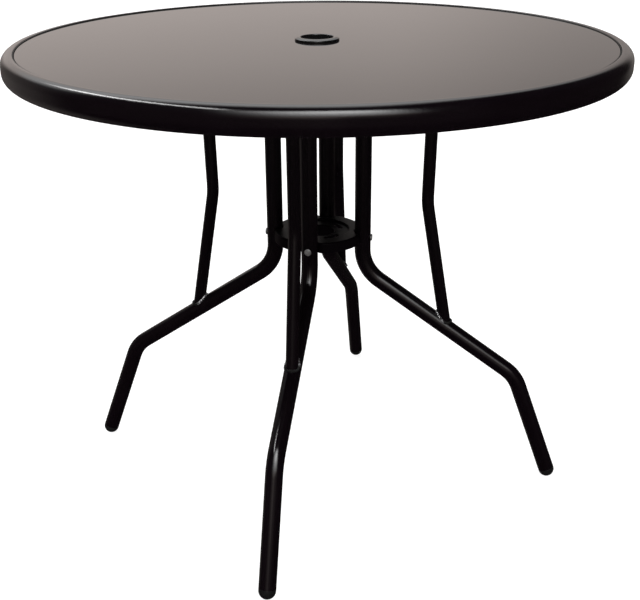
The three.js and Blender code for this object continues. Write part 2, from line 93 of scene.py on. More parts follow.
class Signal:
    """A value that changes over a surface, so that shader maths reads as an expression."""

    def __init__(self, finish, socket):
        self.finish = finish
        self.socket = socket

    def maths(self, operation, first, second):
        settings = {"operation": operation}
        return self.finish.node("ShaderNodeMath", settings, {0: first, 1: second})

    def __add__(self, other):
        return self.maths("ADD", self, other)

    def __radd__(self, other):
        return self.maths("ADD", other, self)

    def __sub__(self, other):
        return self.maths("SUBTRACT", self, other)

    def __rsub__(self, other):
        return self.maths("SUBTRACT", other, self)

    def __mul__(self, other):
        return self.maths("MULTIPLY", self, other)

    def __rmul__(self, other):
        return self.maths("MULTIPLY", other, self)


class Finish:
    """A surface finish: a Principled shader fed by procedural nodes on object coordinates."""

    def __init__(self, name, **constants):
        self.material = bpy.data.materials.new(name)
        self.material.use_nodes = True
        self.tree = self.material.node_tree
        self.shader = self.tree.nodes["Principled BSDF"]
        for socket, value in constants.items():
            self.shader.inputs[socket.replace("_", " ")].default_value = value
        self.place = self.node("ShaderNodeTexCoord", {}, {}, "Object")

    def node(self, kind, settings, sockets, output=0):
        """One node: its settings first, then the values or links of its sockets."""
        made = self.tree.nodes.new(kind)
        for name, value in settings.items():
            if name == "stops":
                self.set_stops(made.color_ramp, value)
            else:
                setattr(made, name, value)
        for name, value in sockets.items():
            self.feed(made.inputs[name], value)
        return Signal(self, made.outputs[output])

    def set_stops(self, ramp, stops):
        while len(ramp.elements) < len(stops):
            ramp.elements.new(1)
        for element, (position, colour) in zip(ramp.elements, stops):
            element.position = position
            element.color = colour

    def feed(self, socket, value):
        if isinstance(value, Signal):
            self.tree.links.new(value.socket, socket)
        else:
            socket.default_value = value

    def drive(self, **inputs):
        for socket, value in inputs.items():
            self.feed(self.shader.inputs[socket.replace("_", " ")], value)

    def noise(self, scale, detail=2, roughness=0.5):
        sockets = {"Scale": scale, "Detail": detail, "Roughness": roughness}
        sockets["Vector"] = self.place
        return self.node("ShaderNodeTexNoise", {}, sockets, "Fac")

    def ramp(self, value, low, high):
        """0 below low, 1 above high, smooth between."""
        settings = {"interpolation_type": "SMOOTHSTEP"}
        sockets = {"Value": value, "From Min": low, "From Max": high}
        return self.node("ShaderNodeMapRange", settings, sockets)

    def blend(self, share, first, second):
        settings = {"data_type": "RGBA"}
        return self.node("ShaderNodeMix", settings, {0: share, 6: first, 7: second}, 2)

    def bump(self, height, strength, distance):
        sockets = {"Height": height, "Strength": strength, "Distance": distance}
        return self.node("ShaderNodeBump", {}, sockets)


def powder_coat(name, ior, roughness):
    """Black semi-gloss powder: a fine orange peel, a little dust, and a duller or glossier
    patch here and there."""
    dark_patch = (0.0018, 0.0008, 0.0015, 1)
    pale_patch = (0.0028, 0.0015, 0.0025, 1)
    dust_grey = (0.030, 0.028, 0.027, 1)
    finish = Finish(name, IOR=ior)
    patches = finish.noise(scale=14, detail=3)
    peel = finish.noise(scale=1100, roughness=0.4)
    swell = finish.noise(scale=240, detail=1)
    specks = finish.ramp(finish.noise(scale=3200, detail=1), 0.68, 0.8)
    dust = specks * finish.ramp(patches, 0.4, 0.7)
    clean = finish.blend(patches, dark_patch, pale_patch)
    finish.drive(
        Base_Color=finish.blend(dust * 0.3, clean, dust_grey),
        Roughness=roughness + 0.05 * patches + 0.2 * dust,
        Normal=finish.bump(peel + 1.5 * swell, strength=0.35, distance=0.00012),
    )
    return finish.material


def pick(items, kind):
    """The vertices, or the edges, among what a bmesh operator has made."""
    return [item for item in items if isinstance(item, kind)]


def edges_between(verts):
    """The edges that run between the given vertices."""
    chosen = set(verts)
    return list(
        {edge for vert in verts for edge in vert.link_edges if chosen.issuperset(edge.verts)}
    )


def rounded(bm, geom, offset, segments, affect="EDGES"):
    """Rounds the given edges, or the given corners of a wire line."""
    bmesh.ops.bevel(
        bm,
        geom=geom,
        offset=offset,
        offset_type="OFFSET",
        segments=segments,
        profile=0.5,
        affect=affect,
        material=-1,
    )


def profile(points, closed=False):
    """A bmesh of one wire line in the XZ plane, each point [radius, height, rounding]."""
    bm = bmesh.new()
    verts = [bm.verts.new((point[0], 0, point[1])) for point in points]
    for start, end in zip(verts, verts[1:]):
        bm.edges.new((start, end))
    if closed:
        bm.edges.new((verts[-1], verts[0]))
    for vert, point in zip(verts, points):
        if len(point) > 2:
            segments = max(fewest_round_steps, round(point[2] * round_steps_per_metre))
            rounded(bm, [vert], point[2], segments, affect="VERTICES")
    return bm


def spin_round(bm, steps, seam=merge_distance):
    """Spins a profile a full turn round the Z axis and closes its seam."""
    bmesh.ops.spin(
        bm,
        geom=bm.verts[:] + bm.edges[:],
        cent=(0, 0, 0),
        axis=(0, 0, 1),
        angle=full_turn,
        steps=steps,
        use_merge=True,
    )
    bmesh.ops.remove_doubles(bm, verts=bm.verts, dist=seam)


def turned(points, closed=True, steps=ring_steps):
    """A profile spun round the table's axis."""
    bm = profile(points, closed)
    spin_round(bm, steps)
    bmesh.ops.recalc_face_normals(bm, faces=bm.faces)
    return bm


def give_wall(sheet, wall):
    """Gives a sheet its wall, inwards from the face that shows."""
    solidify = sheet.modifiers.new("wall", "SOLIDIFY")
    solidify.thickness = wall
    solidify.offset = -1
    solidify.use_even_offset = True


def add_piece(name, bm, material, node, wall=0):
    """A mesh as a named piece that stands for its CAD node and rides on the table."""
    mesh = bpy.data.meshes.new(name)
    bm.to_mesh(mesh)
    bm.free()
    mesh.shade_smooth()
    mesh.set_sharp_from_angle(angle=sharp_angle)
    mesh.materials.append(material)
    piece = bpy.data.objects.new(name, mesh)
    scene.collection.objects.link(piece)
    if wall:
        give_wall(piece, wall)
    flats = piece.modifiers.new("flat faces", "WEIGHTED_NORMAL")
    flats.keep_sharp = True
    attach(piece, "root")
    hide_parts(node)


rim = turned(
    [
        (ledge_inner_radius, ledge_top),
        (rim_riser_radius, ledge_top, rim_ledge_round),
        (rim_riser_radius, rim_top, rim_inner_round),
        (rim_radius, rim_top, rim_crown_round),
        (rim_radius, rim_bottom, rim_foot_round),
        (rim_lip_radius, rim_bottom),
    ],
    closed=False,
)
black_paint = powder_coat("powder_coat", ior=1.5, roughness=0.10)
add_piece("rim", rim, black_paint, "rim_ring", wall=rim_sheet)


# Seal: one extruded rubber ring. Its foot lies under the glass, and its thin wall stands
# between the glass and the rim, where its head shows as a fine dark line.
seal_outer_radius = 0.4319
seal_inner_radius = 0.4308
seal_foot_radius = 0.4247
seal_foot_bottom = ledge_top + fit_gap
seal_foot_top = 0.7028
seal_foot_round = 0.0006
seal_corner_round = 0.0004
seal_head_top = 0.7088
seal_head_round = 0.0005


def seal_rubber():
    """Black rubber with a fine grain and a trace of talc here and there."""
    rubber_black = (0.0045, 0.0042, 0.0040, 1)
    talc_grey = (0.015, 0.014, 0.013, 1)
    finish = Finish("seal_rubber", IOR=1.4)
    grain = finish.noise(scale=1500)
    talc = finish.ramp(finish.noise(scale=60, detail=3), 0.55, 0.8)
    finish.drive(
        Base_Color=finish.blend(talc * 0.5, rubber_black, talc_grey),
        Roughness=0.45 + 0.2 * grain,
        Normal=finish.bump(grain, strength=0.3, distance=0.0001),
    )
    return finish.material


seal = turned(
    [
        (seal_foot_radius, seal_foot_bottom),
        (seal_outer_radius, seal_foot_bottom),
        (seal_outer_radius, seal_head_top, seal_head_round),
        (seal_inner_radius, seal_head_top, seal_head_round),
        (seal_inner_radius, seal_foot_top, seal_corner_round),
        (seal_foot_radius, seal_foot_top, seal_foot_round),
    ]
)
add_piece("seal", seal, seal_rubber(), "glass_seal")


# Glass: one round sheet of tempered glass, tinted nearly black, with ground edges and a
# round hole. It is polished, and so flat that it mirrors whatever stands behind it.
glass_radius = 0.4305
glass_hole_radius = 0.027
glass_hole_band = 0.001
glass_hole_round = 0.0005
glass_edge_band = 0.002
glass_edge_round = 0.0012
glass_bottom = 0.7031
glass_top = 0.7081


def dark_glass():
    """Tinted glass: a faint ripple from the temper, dust, and dried marks of water."""
    tint_black = (0.0060, 0.0054, 0.0052, 1)
    dust_grey = (0.12, 0.11, 0.10, 1)
    finish = Finish("tinted_glass", IOR=1.52)
    ripple = finish.noise(scale=9, detail=1)
    marks = finish.ramp(finish.noise(scale=26, detail=4, roughness=0.6), 0.6, 0.72)
    dust = finish.ramp(finish.noise(scale=2600, detail=1), 0.7, 0.82)
    finish.drive(
        Base_Color=finish.blend(dust * 0.12, tint_black, dust_grey),
        Roughness=0.035 + 0.03 * marks + 0.1 * dust,
        Normal=finish.bump(ripple, strength=0.02, distance=0.002),
    )
    return finish.material


glass = turned(
    [
        (glass_hole_radius, glass_bottom, glass_hole_round),
        (glass_hole_radius + glass_hole_band, glass_bottom),
        (glass_radius - glass_edge_band, glass_bottom),
        (glass_radius, glass_bottom, glass_edge_round),
        (glass_radius, glass_top, glass_edge_round),
        (glass_radius - glass_edge_band, glass_top),
        (glass_hole_radius + glass_hole_band, glass_top),
        (glass_hole_radius, glass_top, glass_hole_round),
    ]
)
add_piece("glass", glass, dark_glass(), "glass_top")


# Grommet: a flanged sleeve of glossy black plastic in the hole of the glass. A pole slides
# through it, and its flange keeps the pole off the glass.
pole_hole_radius = 0.024
grommet_sleeve_radius = 0.0265
grommet_sleeve_bottom = 0.6921
grommet_flange_radius = 0.033
grommet_crown_radius = 0.028
grommet_flange_bottom = 0.7084
grommet_edge_top = 0.7110
grommet_flange_top = 0.7128
grommet_sleeve_round = 0.0006
grommet_flange_round = 0.0004
grommet_edge_round = 0.0008
grommet_crown_round = 0.0015
grommet_bore_round = 0.0014
small_ring_steps = 96


def moulded_plastic(name, roughness, grain_depth, ior=1.46):
    """Black moulded plastic with a fine grain and cloudy wear from handling."""
    fresh_black = (0.0035, 0.0035, 0.0036, 1)
    worn_black = (0.008, 0.008, 0.008, 1)
    finish = Finish(name, IOR=ior)
    grain = finish.noise(scale=1800)
    wear = finish.noise(scale=90, detail=4, roughness=0.65)
    finish.drive(
        Base_Color=finish.blend(wear, fresh_black, worn_black),
        Roughness=roughness + 0.12 * wear,
        Normal=finish.bump(grain, strength=0.4, distance=grain_depth),
    )
    return finish.material


grommet = turned(
    [
        (pole_hole_radius, grommet_sleeve_bottom, grommet_sleeve_round),
        (grommet_sleeve_radius, grommet_sleeve_bottom, grommet_sleeve_round),
        (grommet_sleeve_radius, grommet_flange_bottom),
        (grommet_flange_radius, grommet_flange_bottom, grommet_flange_round),
        (grommet_flange_radius, grommet_edge_top, grommet_edge_round),
        (grommet_crown_radius, grommet_flange_top, grommet_crown_round),
        (pole_hole_radius, grommet_flange_top, grommet_bore_round),
    ],
    steps=small_ring_steps,
)
gloss_plastic = moulded_plastic("gloss_plastic", roughness=0.06, grain_depth=0.00002)
add_piece("grommet", grommet, gloss_plastic, "umbrella_grommet")


# Ring nut: matt plastic, screwed up the grommet's sleeve by hand against the underside of
# the glass. Ribs round it give the fingers a grip.
ring_nut_radius = 0.031
ring_nut_bore_radius = 0.0268
ring_nut_bottom = 0.6948
ring_nut_top = 0.7028
ring_nut_rib = 0.0012
ring_nut_round = 0.0005
rib_steps = 2
rib_pitch_steps = 4
outward_cosine = 0.9

rib_root_radius = ring_nut_radius - ring_nut_rib
ring_nut = turned(
    [
        (ring_nut_bore_radius, ring_nut_bottom, ring_nut_round),
        (rib_root_radius, ring_nut_bottom, ring_nut_round),
        (rib_root_radius, ring_nut_top),
        (ring_nut_bore_radius, ring_nut_top),
    ],
    steps=small_ring_steps,
)
grip_faces = []
for face in ring_nut.faces:
    middle = face.calc_center_median()
    step = math.floor(math.atan2(middle.y, middle.x) / full_turn * small_ring_steps)
    outwards = Vector((middle.x, middle.y, 0)).normalized()
    if face.normal.dot(outwards) > outward_cosine and step % rib_pitch_steps < rib_steps:
        grip_faces.append(face)
grips = bmesh.ops.extrude_face_region(ring_nut, geom=grip_faces)["geom"]
grip_reach = ring_nut_radius / rib_root_radius
grip_scale = (grip_reach, grip_reach, 1)
bmesh.ops.scale(ring_nut, verts=pick(grips, bmesh.types.BMVert), vec=grip_scale)
bmesh.ops.delete(ring_nut, geom=grip_faces, context="FACES_ONLY")
nut_plastic = moulded_plastic("nut_plastic", roughness=0.4, grain_depth=0.00008)
add_piece("ring_nut", ring_nut, nut_plastic, "grommet_nut")


# Centre ring: a short piece of steel tube under the grommet. The four cross bars are
# welded to it before the frame is coated.
centre_ring_radius = 0.037
centre_ring_bore_radius = 0.034
centre_ring_round = 0.0004
bar_top = 0.6992
bar_bottom = 0.6852

centre_ring = turned(
    [
        (centre_ring_bore_radius, bar_bottom, centre_ring_round),
        (centre_ring_radius, bar_bottom, centre_ring_round),
        (centre_ring_radius, bar_top, centre_ring_round),
        (centre_ring_bore_radius, bar_top, centre_ring_round),
    ],
    steps=small_ring_steps,
)
add_piece("centre_tube", centre_ring, black_paint, "centre_ring")


# Cross bars: four channels folded from sheet steel, open side down. Each runs from the
# centre ring out into the rim's C, and the tops of a leg and a strut are bolted up in it.
bar_half_width = 0.015
bar_sheet = 0.0015
bar_fold_radius = 0.0025
bar_end = 0.4463
bar_start = 0.0365
sides = [("left", math.pi), ("front", -math.pi / 2), ("right", 0), ("back", math.pi / 2)]


def add_four(name, pattern, material, node, wall=0):
    """One piece for each side of the table, from a mesh made along +X."""
    for side, turn in sides:
        bm = pattern.copy()
        to_side = Matrix.Rotation(turn, 3, "Z")
        bmesh.ops.rotate(bm, verts=bm.verts, cent=(0, 0, 0), matrix=to_side)
        add_piece(name + "_" + side, bm, material, node + "_" + side, wall)
    pattern.free()


def extruded(bm, edges, way):
    """Extrudes edges and moves the new ones, which are returned."""
    verts = pick(bmesh.ops.extrude_edge_only(bm, edges=edges)["geom"], bmesh.types.BMVert)
    bmesh.ops.translate(bm, verts=verts, vec=way)
    return edges_between(verts)


bar = profile(
    [
        (bar_half_width, bar_bottom),
        (bar_half_width, bar_top, bar_fold_radius),
        (-bar_half_width, bar_top, bar_fold_radius),
        (-bar_half_width, bar_bottom),
    ]
)
across_bar = Matrix.Rotation(math.pi / 2, 3, "Z")
bmesh.ops.rotate(bar, verts=bar.verts, cent=(0, 0, 0), matrix=across_bar)
bmesh.ops.translate(bar, verts=bar.verts, vec=(bar_start, 0, 0))
extruded(bar, bar.edges[:], (bar_end - bar_start, 0, 0))
bmesh.ops.recalc_face_normals(bar, faces=bar.faces)
if max(bar.faces, key=bmesh.types.BMFace.calc_area).normal.z < 0:
    bmesh.ops.reverse_faces(bar, faces=bar.faces)
add_four("bar", bar, black_paint, "cross_bar", wall=bar_sheet)


# Legs: one inch steel tube, bent twice in a former. The upper part stands beside the hub,
# the middle slopes out, and the lower part runs steeply down to the foot.
leg_tube_radius = 0.0127
leg_tube_wall = 0.0012
leg_upright_radius = 0.071
tube_top = 0.6974
leg_elbow = Vector((leg_upright_radius, 0, 0.352))
leg_knee = Vector((0.3226, 0, 0.1816))
leg_foot = Vector((0.3908, 0, 0))
leg_bend_radius = 0.062
leg_cap_seam_height = 0.0150
tube_sides = 48
bend_step = math.radians(4)


def tube_along(corners, radius, bend_radius, sides=tube_sides):
    """An open tube whose centreline runs through corners in the XZ plane, with an arc in
    place of each corner but the first and last."""
    bm = bmesh.new()
    runs = [(end - start).normalized() for start, end in zip(corners, corners[1:])]
    aim = Vector((0, 0, 1)).rotation_difference(runs[0]).to_matrix().to_4x4()
    place = Matrix.Translation(corners[0]) @ aim
    ring = bmesh.ops.create_circle(bm, cap_ends=False, segments=sides, radius=radius, matrix=place)
    edges = edges_between(ring["verts"])
    here = corners[0]
    for corner, before, after in zip(corners[1:], runs, runs[1:]):
        angle = before.angle(after)
        axis = before.cross(after).normalized()
        bend_start = corner - before * (bend_radius * math.tan(angle / 2))
        edges = extruded(bm, edges, bend_start - here)
        verts = {vert for edge in edges for vert in edge.verts}
        made = bmesh.ops.spin(
            bm,
            geom=list(verts) + edges,
            cent=bend_start + axis.cross(before) * bend_radius,
            axis=axis,
            angle=angle,
            steps=math.ceil(angle / bend_step),
            use_merge=False,
        )["geom_last"]
        edges = pick(made, bmesh.types.BMEdge)
        here = corner + after * (bend_radius * math.tan(angle / 2))
    edges = extruded(bm, edges, corners[-1] - here)
    bmesh.ops.recalc_face_normals(bm, faces=bm.faces)
    return bm, list({vert for edge in edges for vert in edge.verts})


shin_run = (leg_foot - leg_knee).normalized()
leg_seam = leg_foot - shin_run * (leg_cap_seam_height / -shin_run.z)
leg_top = Vector((leg_upright_radius, 0, tube_top))
leg, _ = tube_along([leg_top, leg_elbow, leg_knee, leg_seam], leg_tube_radius, leg_bend_radius)
add_four("leg_tube", leg, black_paint, "leg", wall=leg_tube_wall)


# Foot caps: moulded plastic domes with a spigot up the tube. A fine seam is left between the
# dome and the end of the tube, and the tip of the dome is cut flat, where the leg stands.
cap_dome_radius = 0.0127
cap_dome_slack = 0.00001
cap_flat_depth = 0.0005
cap_edge_round = 0.0004
cap_spigot_radius = 0.0104
cap_spigot_length = 0.02
cap_spigot_round = 0.001
cap_merge_distance = 1e-5

cap_upwards = -shin_run
dome_height = cap_dome_radius - cap_flat_depth
dome_centre = leg_foot + cap_upwards * (dome_height / cap_upwards.z)
skirt_top = (leg_seam - dome_centre).dot(cap_upwards) - fit_gap
cap_plastic = moulded_plastic("cap_plastic", roughness=0.3, grain_depth=0.00004, ior=1.22)

cap = profile(
    [
        (0, -cap_dome_radius),
        (cap_dome_radius, -cap_dome_radius, cap_dome_radius - cap_dome_slack),
        (cap_dome_radius, skirt_top, cap_edge_round),
        (cap_spigot_radius, skirt_top),
        (cap_spigot_radius, skirt_top + cap_spigot_length, cap_spigot_round),
        (0, skirt_top + cap_spigot_length),
    ]
)
spin_round(cap, tube_sides, seam=cap_merge_distance)
aim = Vector((0, 0, 1)).rotation_difference(cap_upwards).to_matrix().to_4x4()
bmesh.ops.transform(cap, matrix=Matrix.Translation(dome_centre) @ aim, verts=cap.verts)
flat = bmesh.ops.bisect_plane(
    cap,
    geom=cap.verts[:] + cap.edges[:] + cap.faces[:],
    plane_co=(0, 0, 0),
    plane_no=(0, 0, -1),
    clear_outer=True,
)["geom_cut"]
bmesh.ops.edgeloop_fill(cap, edges=pick(flat, bmesh.types.BMEdge))
bmesh.ops.recalc_face_normals(cap, faces=cap.faces)
add_four("foot", cap, cap_plastic, "foot_cap")


# Struts: thinner steel tube with one easy bend. The top is bolted into the cross bar, and
# the lower end is coped to sit on the leg's slope, where it is welded.
strut_tube_radius = 0.0095
strut_tube_wall = 0.0012
strut_top = Vector((0.1754, 0, tube_top))
strut_corner = Vector((0.1712, 0, 0.4668))
strut_landing_radius = 0.207
strut_bend_radius = 0.120
strut_sides = 40

thigh_run = (leg_knee - leg_elbow).normalized()
landing_share = (strut_landing_radius - leg_elbow.x) / (leg_knee.x - leg_elbow.x)
strut_landing = leg_elbow.lerp(leg_knee, landing_share)
strut_run = (strut_landing - strut_corner).normalized()


def slide_to_leg(point, clearance):
    """A point moved along the strut until it is that far from the leg's surface."""
    offset = point - leg_elbow
    across = offset - thigh_run * offset.dot(thigh_run)
    slide = strut_run - thigh_run * strut_run.dot(thigh_run)
    square = slide.dot(slide)
    half = across.dot(slide)
    rest = across.dot(across) - (leg_tube_radius + clearance) ** 2
    return point + strut_run * ((-half - math.sqrt(half * half - square * rest)) / square)


strut, coped_end = tube_along(
    [strut_top, strut_corner, strut_landing], strut_tube_radius, strut_bend_radius, strut_sides
)
for vert in coped_end:
    vert.co = slide_to_leg(vert.co, fit_gap)
bmesh.ops.recalc_face_normals(strut, faces=strut.faces)
add_four("strut_tube", strut, black_paint, "strut", wall=strut_tube_wall)


# Strut welds: one bead run round each strut's coped end. The coat is thin over the ripples
# on the side that faces the hub, and the bare metal glints through it there.
weld_radius = 0.0021
weld_ripples = 26
weld_ripple_share = 0.14
weld_steps = 156
weld_past_strut = 0.0006
weld_past_leg = 0.0008


def weld_metal():
    """Black powder over a weld bead, worn through to bright metal in spots. The shader gets
    the distance from the table's axis, because only the side towards the hub is worn."""
    coat_black = (0.005, 0.005, 0.005, 1)
    bare_steel = (0.7, 0.7, 0.72, 1)
    worn_within = 0.198
    whole_beyond = 0.207
    finish = Finish("weld_bead", IOR=1.3)
    flatten = {"operation": "MULTIPLY"}
    level_place = finish.node("ShaderNodeVectorMath", flatten, {0: finish.place, 1: (1, 1, 0)})
    measure = {"operation": "LENGTH"}
    from_axis = finish.node("ShaderNodeVectorMath", measure, {0: level_place}, "Value")
    hub_side = 1 - finish.ramp(from_axis, worn_within, whole_beyond)
    spots = finish.ramp(finish.noise(scale=420), 0.42, 0.5) * hub_side
    finish.drive(
        Base_Color=finish.blend(spots, coat_black, bare_steel),
        Metallic=spots,
        Roughness=0.35 - 0.1 * spots,
        Normal=finish.bump(finish.noise(scale=900), strength=0.5, distance=0.0002),
    )
    return finish.material


weld_finish = weld_metal()
side_ways = strut_run.cross(thigh_run).normalized()
strut_across = side_ways.cross(strut_run).normalized()

bead_path = bpy.data.curves.new("bead path", "CURVE")
bead_path.dimensions = "3D"
bead_path.bevel_depth = weld_radius
bead_path.bevel_resolution = 3
bead_line = bead_path.splines.new("POLY")
bead_line.points.add(weld_steps - 1)
bead_line.use_cyclic_u = True
for i, point in enumerate(bead_line.points):
    angle = full_turn * i / weld_steps
    outwards = side_ways * math.cos(angle) + strut_across * math.sin(angle)
    beside_strut = strut_landing + outwards * (strut_tube_radius + weld_past_strut)
    point.co = (*slide_to_leg(beside_strut, weld_past_leg), 1)
    point.radius = 1 + weld_ripple_share * math.cos(weld_ripples * angle)
bead_curve = bpy.data.objects.new("bead path", bead_path)
bead_mesh = bpy.data.meshes.new_from_object(bead_curve)
bead = bmesh.new()
bead.from_mesh(bead_mesh)
bpy.data.objects.remove(bead_curve)
bpy.data.meshes.remove(bead_mesh)
bmesh.ops.recalc_face_normals(bead, faces=bead.faces)
add_four("weld", bead, weld_finish, "strut_weld")


# Hub: a tray pressed from sheet steel, open side down, with a half-round seat for each
# upright and a bolt hole in the ear behind it. Its middle is sunk, with a collar round the
# pole hole and four curved slots.
hub_top = 0.4145
hub_radius = 0.070
hub_height = 0.016
hub_sheet = 0.002
hub_edge_round = 0.003
hub_edge_steps = 5
hub_corner_round = 0.010
hub_corner_steps = 10
hub_seat_radius = leg_tube_radius + fit_gap
hub_seat_steps = 20
hub_side_steps = 12
hub_ear_drop = 0.002
hub_ear_half_width = 0.010
hub_ear_flat_half_width = 0.008
hub_ear_round_width = 0.0022
hub_ear_round_depth = 0.0015
hub_recess_radius = 0.048
hub_recess_depth = 0.003
hub_recess_round = 0.0012
hub_recess_band = 0.0025
hub_hole_radius = 0.025
hub_collar_drop = 0.018
hub_collar_round = 0.002
hub_middle_steps = 104
hub_bolt_height = 0.405
hub_bolt_hole_radius = 0.0033
hub_bolt_hole_middle = 0.060
hub_bolt_hole_length = 0.012
hub_bolt_hole_sides = 24
slot_pitch_radius = 0.037
slot_half_width = 0.004
slot_half_angle = math.radians(15)
slot_cut_reach = 0.01
slot_steps = 12
slot_turns = (math.pi / 4, 3 * math.pi / 4, -3 * math.pi / 4, -math.pi / 4)
level_tolerance = 1e-5
on_its_side = Matrix.Rotation(math.pi / 2, 4, "Y")


def spun_arc(bm, vert, centre, angle, steps):
    """An arc of edges that starts at a vertex. Returns the vertex at its end."""
    made = bmesh.ops.spin(
        bm, geom=[vert], cent=centre, axis=(0, 0, 1), angle=angle, steps=steps, use_merge=False
    )["geom_last"]
    return pick(made, bmesh.types.BMVert)[0]


def hub_outline(bm, height):
    """The closed outline of the hub: seats on the axes, and a round corner beside each."""
    corner_centre_radius = hub_radius - hub_corner_round
    reach = hub_seat_radius + hub_corner_round
    cosine = (corner_centre_radius ** 2 + leg_upright_radius ** 2 - reach ** 2) / (
        2 * corner_centre_radius * leg_upright_radius
    )
    spread = math.acos(cosine)
    corner_y = corner_centre_radius * math.sin(spread)
    corner = Vector((corner_centre_radius * cosine, corner_y, height))
    lean = math.atan2(-corner.y, leg_upright_radius - corner.x)
    seat = Vector((leg_upright_radius, 0, height))
    below = Vector((corner.x, -corner.y, height))
    start = below + Vector((math.cos(-spread), math.sin(-spread), 0)) * hub_corner_round
    vert = bm.verts.new(start)
    vert = spun_arc(bm, vert, below, spread - lean, hub_corner_steps)
    vert = spun_arc(bm, vert, seat, 2 * lean, hub_seat_steps)
    vert = spun_arc(bm, vert, corner, spread - lean, hub_corner_steps)
    spun_arc(bm, vert, (0, 0, height), math.pi / 2 - 2 * spread, hub_side_steps)
    bmesh.ops.spin(
        bm,
        geom=bm.verts[:] + bm.edges[:],
        cent=(0, 0, 0),
        axis=(0, 0, 1),
        angle=full_turn,
        steps=len(sides),
        use_merge=True,
        use_duplicate=True,
    )
    bmesh.ops.remove_doubles(bm, verts=bm.verts, dist=merge_distance)
    return bm.edges[:]


def join(bm, part):
    """Moves one bmesh into another."""
    mesh = bpy.data.meshes.new("part")
    part.to_mesh(mesh)
    part.free()
    bm.from_mesh(mesh)
    bpy.data.meshes.remove(mesh)


def add_cylinder(bm, radius, length, sides, place=Matrix.Identity(4)):
    """A closed cylinder along Z, or wherever its place turns it."""
    bmesh.ops.create_cone(
        bm,
        cap_ends=True,
        segments=sides,
        radius1=radius,
        radius2=radius,
        depth=length,
        matrix=place,
    )


def cut_away(bm, cutter, wall=0):
    """Cuts a closed mesh out of another, which gets its sheet's wall first."""
    names = "blank", "cutter"
    blank, tool = (bpy.data.objects.new(name, bpy.data.meshes.new(name)) for name in names)
    bm.to_mesh(blank.data)
    cutter.to_mesh(tool.data)
    cutter.free()
    for item in (blank, tool):
        scene.collection.objects.link(item)
    if wall:
        give_wall(blank, wall)
    cut = blank.modifiers.new("cut", "BOOLEAN")
    cut.operation = "DIFFERENCE"
    cut.object = tool
    cut.solver = "EXACT"
    seen = blank.evaluated_get(bpy.context.evaluated_depsgraph_get())
    bm.clear()
    bm.from_mesh(seen.to_mesh())
    for item in (blank, tool):
        mesh = item.data
        bpy.data.objects.remove(item)
        bpy.data.meshes.remove(mesh)
    return bm


hub = bmesh.new()
outline = hub_outline(hub, hub_top)
top_face = bmesh.ops.contextual_create(hub, geom=outline)["faces"][0]
skirt_edges = extruded(hub, outline, (0, 0, -hub_height))
ear_edges = [
    edge
    for edge in skirt_edges
    if all(
        min(abs(vert.co.x), abs(vert.co.y)) < hub_ear_half_width
        and vert.co.xy.length < hub_radius - hub_sheet
        for vert in edge.verts
    )
]
ear_ends = extruded(hub, ear_edges, (0, 0, -hub_ear_drop))
for vert in {vert for edge in ear_ends for vert in edge.verts}:
    from_middle = min(abs(vert.co.x), abs(vert.co.y))
    past_flat = max(0, from_middle - hub_ear_flat_half_width) / hub_ear_round_width
    vert.co.z += hub_ear_round_depth * (1 - math.sqrt(max(0, 1 - past_flat * past_flat)))
rounded(hub, list(top_face.edges), hub_edge_round, hub_edge_steps)
plate_top = max(hub.faces, key=bmesh.types.BMFace.calc_area)
bmesh.ops.delete(hub, geom=[plate_top], context="FACES_ONLY")
recess_floor = hub_top - hub_recess_depth
middle = turned(
    [
        (hub_hole_radius, recess_floor - hub_sheet - hub_collar_drop),
        (hub_hole_radius, recess_floor, hub_collar_round),
        (hub_recess_radius, recess_floor, hub_recess_round),
        (hub_recess_radius, hub_top, hub_recess_round),
        (hub_recess_radius + hub_recess_band, hub_top),
    ],
    closed=False,
    steps=hub_middle_steps,
)
join(hub, middle)
facing_loops = [
    edge
    for edge in hub.edges
    if edge.is_boundary
    and all(abs(vert.co.z - hub_top) < level_tolerance for vert in edge.verts)
]
bmesh.ops.bridge_loops(hub, edges=facing_loops)
bmesh.ops.recalc_face_normals(hub, faces=hub.faces)
flat_face = max(hub.faces, key=lambda face: face.calc_center_median().z)
if flat_face.normal.z < 0:
    bmesh.ops.reverse_faces(hub, faces=hub.faces)

hub_cutter = bmesh.new()
slot_low = recess_floor - slot_cut_reach
slot_centre = Vector((0, 0, slot_low))
pitch_point = Vector((slot_pitch_radius, 0, slot_low))
for turn in slot_turns:
    slot = bmesh.new()
    to_start = Matrix.Rotation(turn - slot_half_angle, 3, "Z")
    to_end = Matrix.Rotation(turn + slot_half_angle, 3, "Z")
    inner = Vector((slot_pitch_radius - slot_half_width, 0, slot_low))
    vert = slot.verts.new(to_start @ inner)
    vert = spun_arc(slot, vert, slot_centre, 2 * slot_half_angle, slot_steps)
    vert = spun_arc(slot, vert, to_end @ pitch_point, -math.pi, slot_steps)
    vert = spun_arc(slot, vert, slot_centre, -2 * slot_half_angle, slot_steps)
    spun_arc(slot, vert, to_start @ pitch_point, -math.pi, slot_steps)
    bmesh.ops.remove_doubles(slot, verts=slot.verts, dist=merge_distance)
    slot_floor = bmesh.ops.contextual_create(slot, geom=slot.edges[:])["faces"]
    made = bmesh.ops.extrude_face_region(slot, geom=slot_floor)["geom"]
    slot_height = (0, 0, 2 * slot_cut_reach)
    bmesh.ops.translate(slot, verts=pick(made, bmesh.types.BMVert), vec=slot_height)
    bmesh.ops.recalc_face_normals(slot, faces=slot.faces)
    join(hub_cutter, slot)
bolt_hole_place = Matrix.Translation((hub_bolt_hole_middle, 0, hub_bolt_height))
for _, turn in sides:
    add_cylinder(
        hub_cutter,
        hub_bolt_hole_radius,
        hub_bolt_hole_length,
        hub_bolt_hole_sides,
        Matrix.Rotation(turn, 4, "Z") @ bolt_hole_place @ on_its_side,
    )
